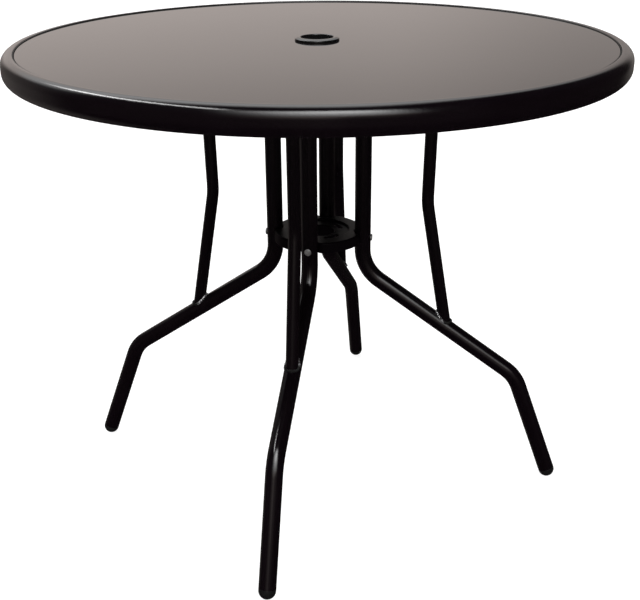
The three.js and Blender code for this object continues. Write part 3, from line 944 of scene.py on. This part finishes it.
hub = cut_away(hub, hub_cutter, wall=hub_sheet)
hub_paint = powder_coat("hub_coat", ior=1.11, roughness=0.36)
add_piece("hub", hub, hub_paint, "hub_plate")


# Hub bolts: zinc plated pan heads with a cross recess. Each goes through a leg and the
# hub's ear, and pulls the leg's tube into its seat.
bolt_shank_radius = 0.003
bolt_head_radius = 0.0055
bolt_head_height = 0.002
bolt_seat_radius = 0.0840
bolt_end_radius = 0.0492
bolt_head_round_share = 0.7
bolt_seat_round = 0.0003
bolt_thread_length = 0.012
bolt_thread_pitch = 0.001
bolt_thread_depth = 0.0004
bolt_tip_chamfer = 0.0006
bolt_sides = 32
cross_width_share = 0.27
cross_arm_share = 1.4
cross_taper_share = 0.55


def zinc_plate():
    """Bright zinc, a little clouded, with dull spots where it has been handled."""
    blue_zinc = (0.76, 0.77, 0.78, 1)
    pale_zinc = (0.88, 0.88, 0.87, 1)
    dull_spot = (0.30, 0.29, 0.27, 1)
    finish = Finish("zinc_plate", Metallic=1.0)
    cloud = finish.noise(scale=260, detail=3)
    pits = finish.ramp(finish.noise(scale=1400), 0.6, 0.75)
    bright = finish.blend(cloud, blue_zinc, pale_zinc)
    finish.drive(
        Base_Color=finish.blend(pits * 0.5, bright, dull_spot),
        Roughness=0.48 + 0.15 * cloud + 0.2 * pits,
        Normal=finish.bump(finish.noise(scale=2400), strength=0.3, distance=0.00003),
    )
    return finish.material


def bolt(shank_radius, shank_length, head_radius, head_height, thread_length):
    """A bolt along +Z with its head's seat at zero."""
    steps = round(thread_length / bolt_thread_pitch)
    thread = []
    for i in range(steps):
        height = -shank_length + bolt_thread_depth + i * bolt_thread_pitch
        thread.append((shank_radius - bolt_thread_depth, height))
        thread.append((shank_radius, height + bolt_thread_pitch / 2))
    bm = turned(
        [
            (0, head_height),
            (head_radius, head_height, bolt_head_round_share * head_height),
            (head_radius, 0, bolt_seat_round),
            (shank_radius, 0),
            *reversed(thread),
            (shank_radius - bolt_tip_chamfer, -shank_length),
            (0, -shank_length),
        ],
        closed=False,
        steps=bolt_sides,
    )
    cross = bmesh.new()
    bmesh.ops.create_cube(cross, size=1)
    arms = [face for face in cross.faces if abs(face.normal.z) < 0.5]
    for face in arms:
        way = face.normal * cross_arm_share
        made = bmesh.ops.extrude_face_region(cross, geom=[face])["geom"]
        bmesh.ops.translate(cross, verts=pick(made, bmesh.types.BMVert), vec=way)
    bmesh.ops.delete(cross, geom=arms, context="FACES_ONLY")
    low_verts = [vert for vert in cross.verts if vert.co.z < 0]
    bmesh.ops.scale(cross, verts=low_verts, vec=(cross_taper_share, cross_taper_share, 1))
    width = head_radius * cross_width_share
    bmesh.ops.scale(cross, verts=cross.verts, vec=(width, width, head_height))
    bmesh.ops.translate(cross, verts=cross.verts, vec=(0, 0, head_height))
    bmesh.ops.recalc_face_normals(cross, faces=cross.faces)
    return cut_away(bm, cross)


bright_zinc = zinc_plate()
hub_bolt = bolt(
    bolt_shank_radius,
    bolt_seat_radius - bolt_end_radius,
    bolt_head_radius,
    bolt_head_height,
    bolt_thread_length,
)
bolt_place = Matrix.Translation((bolt_seat_radius, 0, hub_bolt_height))
bmesh.ops.transform(hub_bolt, matrix=bolt_place @ on_its_side, verts=hub_bolt.verts)
add_four("bolt", hub_bolt, bright_zinc, "hub_bolt")


# Hub nuts: plain hexagon nuts on the inner side of the ears. Their edges are eased, and
# each has a bore for the bolt that comes through the ear.
nut_face_radius = 0.0557
nut_height = 0.005
nut_corner_radius = 0.00577
nut_edge_round = 0.0004
nut_edge_steps = 2
nut_sides = 6
nut_bore_length = 0.02

nut = bmesh.new()
add_cylinder(nut, nut_corner_radius, nut_height, nut_sides)
rounded(nut, nut.edges[:], nut_edge_round, nut_edge_steps)
nut_bore = bmesh.new()
add_cylinder(nut_bore, hub_bolt_hole_radius, nut_bore_length, bolt_sides)
nut = cut_away(nut, nut_bore)
nut_place = Matrix.Translation((nut_face_radius - nut_height / 2, 0, hub_bolt_height))
bmesh.ops.transform(nut, matrix=nut_place @ on_its_side, verts=nut.verts)
add_four("nut", nut, bright_zinc, "hub_nut")


# Top bolts and plugs: low bolts go down through the cross bars into threaded plugs. The
# plugs keep their plain solids, because they are hidden in the tops of the legs and struts.
top_bolt_seat = 0.6995
top_bolt_length = 0.0121
top_bolt_head_radius = 0.007
top_bolt_head_height = 0.0024
top_bolt_thread_length = 0.009
top_bolts = (
    ("leg", leg_upright_radius, 0.003),
    ("strut", strut_top.x, 0.0025),
)

for name, radius, shank_radius in top_bolts:
    top_bolt = bolt(
        shank_radius,
        top_bolt_length,
        top_bolt_head_radius,
        top_bolt_head_height,
        top_bolt_thread_length,
    )
    bmesh.ops.translate(top_bolt, verts=top_bolt.verts, vec=(radius, 0, top_bolt_seat))
    add_four(name + "_screw", top_bolt, bright_zinc, name + "_top_bolt")
    for side, _ in sides:
        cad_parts[name + "_top_plug_" + side].material_slots[0].material = bright_zinc


# Floor: a wide sweep of matt grey paper that glows with painted light, so that it looks pale and
# the shadows on it stay faint.
# It is stage, so it shows only to the camera and in shadows, and polished surfaces mirror the dark
# of the studio in its place.
floor_radius = 30
floor_sides = 96
paper_base = ((0.28, 0.28, 0.28, 1), (0.31, 0.31, 0.31, 1))
# The paper's glow colour is painted light: it lifts the floor to near white and fills the shadows
# on it.
painted_paper_glow = ((0.88, 0.88, 0.88, 1), (0.90, 0.90, 0.90, 1))

floor_mesh = bpy.data.meshes.new("floor")
floor_bm = bmesh.new()
bmesh.ops.create_circle(floor_bm, cap_ends=True, segments=floor_sides, radius=floor_radius)
floor_bm.to_mesh(floor_mesh)
floor_bm.free()
floor = bpy.data.objects.new("floor", floor_mesh)
scene.collection.objects.link(floor)
floor.visible_glossy = False
paper = Finish("studio_paper", Emission_Strength=1.0, IOR=1.3)
mottle = paper.noise(scale=5, detail=3)
paper.drive(
    Base_Color=paper.blend(mottle, *paper_base),
    # Painted light: the paper glows with this colour, though it is no lamp.
    Emission_Color=paper.blend(mottle, *painted_paper_glow),
    Roughness=0.9 + 0.05 * mottle,
)
floor_mesh.materials.append(paper.material)


# Light: a soft box over the table, and round it a studio whose far half is a pale wall that
# brightens upwards, which the polished glass mirrors. A broad soft light stands high behind
# the camera, and a long tube light runs overhead on the left.
white = (1, 1, 1, 1)
warm_white = (1.0, 0.89, 0.84, 1)
wall_light = 2.5
behind_light = 10
tube_strength = 14
left_wall_light = 0.12
floor_light = 0.009
near_floor_light = 0.022
wall_stops = (
    (0.36, 0.0),
    (0.43, 0.09),
    (0.485, 0.17),
    (0.525, 0.24),
    (0.565, 0.303),
    (0.59, 0.300),
    (0.61, 0.282),
    (0.64, 0.29),
    (0.68, 0.36),
    (0.74, 0.46),
    (0.84, 0.88),
    (0.91, 1.00),
)
behind_stops = ((0.35, 0.0), (0.45, 0.014), (0.55, 0.05), (0.69, 0.18), (0.81, 0.5), (0.90, 1.0))
key_place = Vector((-0.25, 0.9, 2.9))
key_aim = Vector((0, -0.4, 0.7))
key_width = 1.5
key_depth = 1.2
key_power = 25


class Studio(Finish):
    """The surroundings: white to the camera, and a wall of light to everything else."""

    def __init__(self, world):
        world.use_nodes = True
        self.tree = world.node_tree
        self.shader = self.tree.nodes["Background"]

    def by_height(self, height, stops):
        """A brightness that changes with height: stop 0 is straight down, 1 straight up."""
        greys = [(place, (share, share, share, 1)) for place, share in stops]
        return self.node("ShaderNodeValToRGB", {"stops": greys}, {"Fac": 0.5 + 0.5 * height})


world = bpy.data.worlds.new("studio")
scene.world = world
studio = Studio(world)
heading = studio.node("ShaderNodeTexCoord", {}, {}, "Generated")
east, north, height = (
    studio.node("ShaderNodeSeparateXYZ", {}, {0: heading}, axis) for axis in ("X", "Y", "Z")
)
across = 0.98 * east + 0.2 * north
wall = wall_light * studio.by_height(height, wall_stops) * studio.ramp(north, 0.05, 0.55)
wall = wall * studio.ramp(east + 0.4 * height, -0.74, -0.54)
wall = wall * (1 - studio.ramp(across + 0.35 * height, 0.45, 0.68))
wall = wall * (1 - 0.08 * studio.ramp(across, -0.3, 0.05))
wall = wall * (1 - 0.32 * studio.ramp(across, 0.05, 0.30))
behind = studio.by_height(height, behind_stops)
behind = behind_light * behind * studio.ramp(0.3 * east - north, 0.25, 0.5)
behind = behind * studio.ramp(east, -0.45, 0.28) * (1 - studio.ramp(east + north, -0.27, 0.2))
low_right = studio.ramp(east, 0.22, 0.4) * (1 - studio.ramp(height, 0.2, 0.36))
behind = behind * (1 - 0.65 * low_right)
off_line = 0.74 * east + 0.455 * north + 0.495 * height - 0.02
off_line = studio.node("ShaderNodeMath", {"operation": "ABSOLUTE"}, {0: off_line})
tube_light = tube_strength * (1 - studio.ramp(off_line, 0.02, 0.07))
tube_light = tube_light * studio.ramp(-1 * east, 0.28, 0.38) * (1 - studio.ramp(north, 0.33, 0.58))
left_wall = left_wall_light * studio.ramp(-1 * east, 0.4, 0.8) * studio.ramp(north, -0.2, 0.3)
near_floor = floor_light + near_floor_light * studio.ramp(-1 * north, 0, 0.6)
below = floor_light + near_floor * studio.ramp(height, -0.45, -0.15)
level = below + left_wall + wall + behind + tube_light
seen = studio.node("ShaderNodeLightPath", {}, {}, "Is Camera Ray")
tint = studio.blend(studio.ramp(height, 0.25, 0.45), warm_white, white)
studio.drive(
    Color=studio.blend(seen, tint, white),
    Strength=seen + (1 - seen) * level,
)

key_data = bpy.data.lights.new("key", "AREA")
key_data.shape = "RECTANGLE"
key_data.size = key_width
key_data.size_y = key_depth
key_data.energy = key_power
key = bpy.data.objects.new("key", key_data)
key.location = key_place
key.rotation_euler = (key_aim - key_place).to_track_quat("-Z", "Y").to_euler()
key.visible_camera = False
key.visible_glossy = False
scene.collection.objects.link(key)

scene.view_settings.view_transform = "Standard"
bpy.context.view_layer.update()
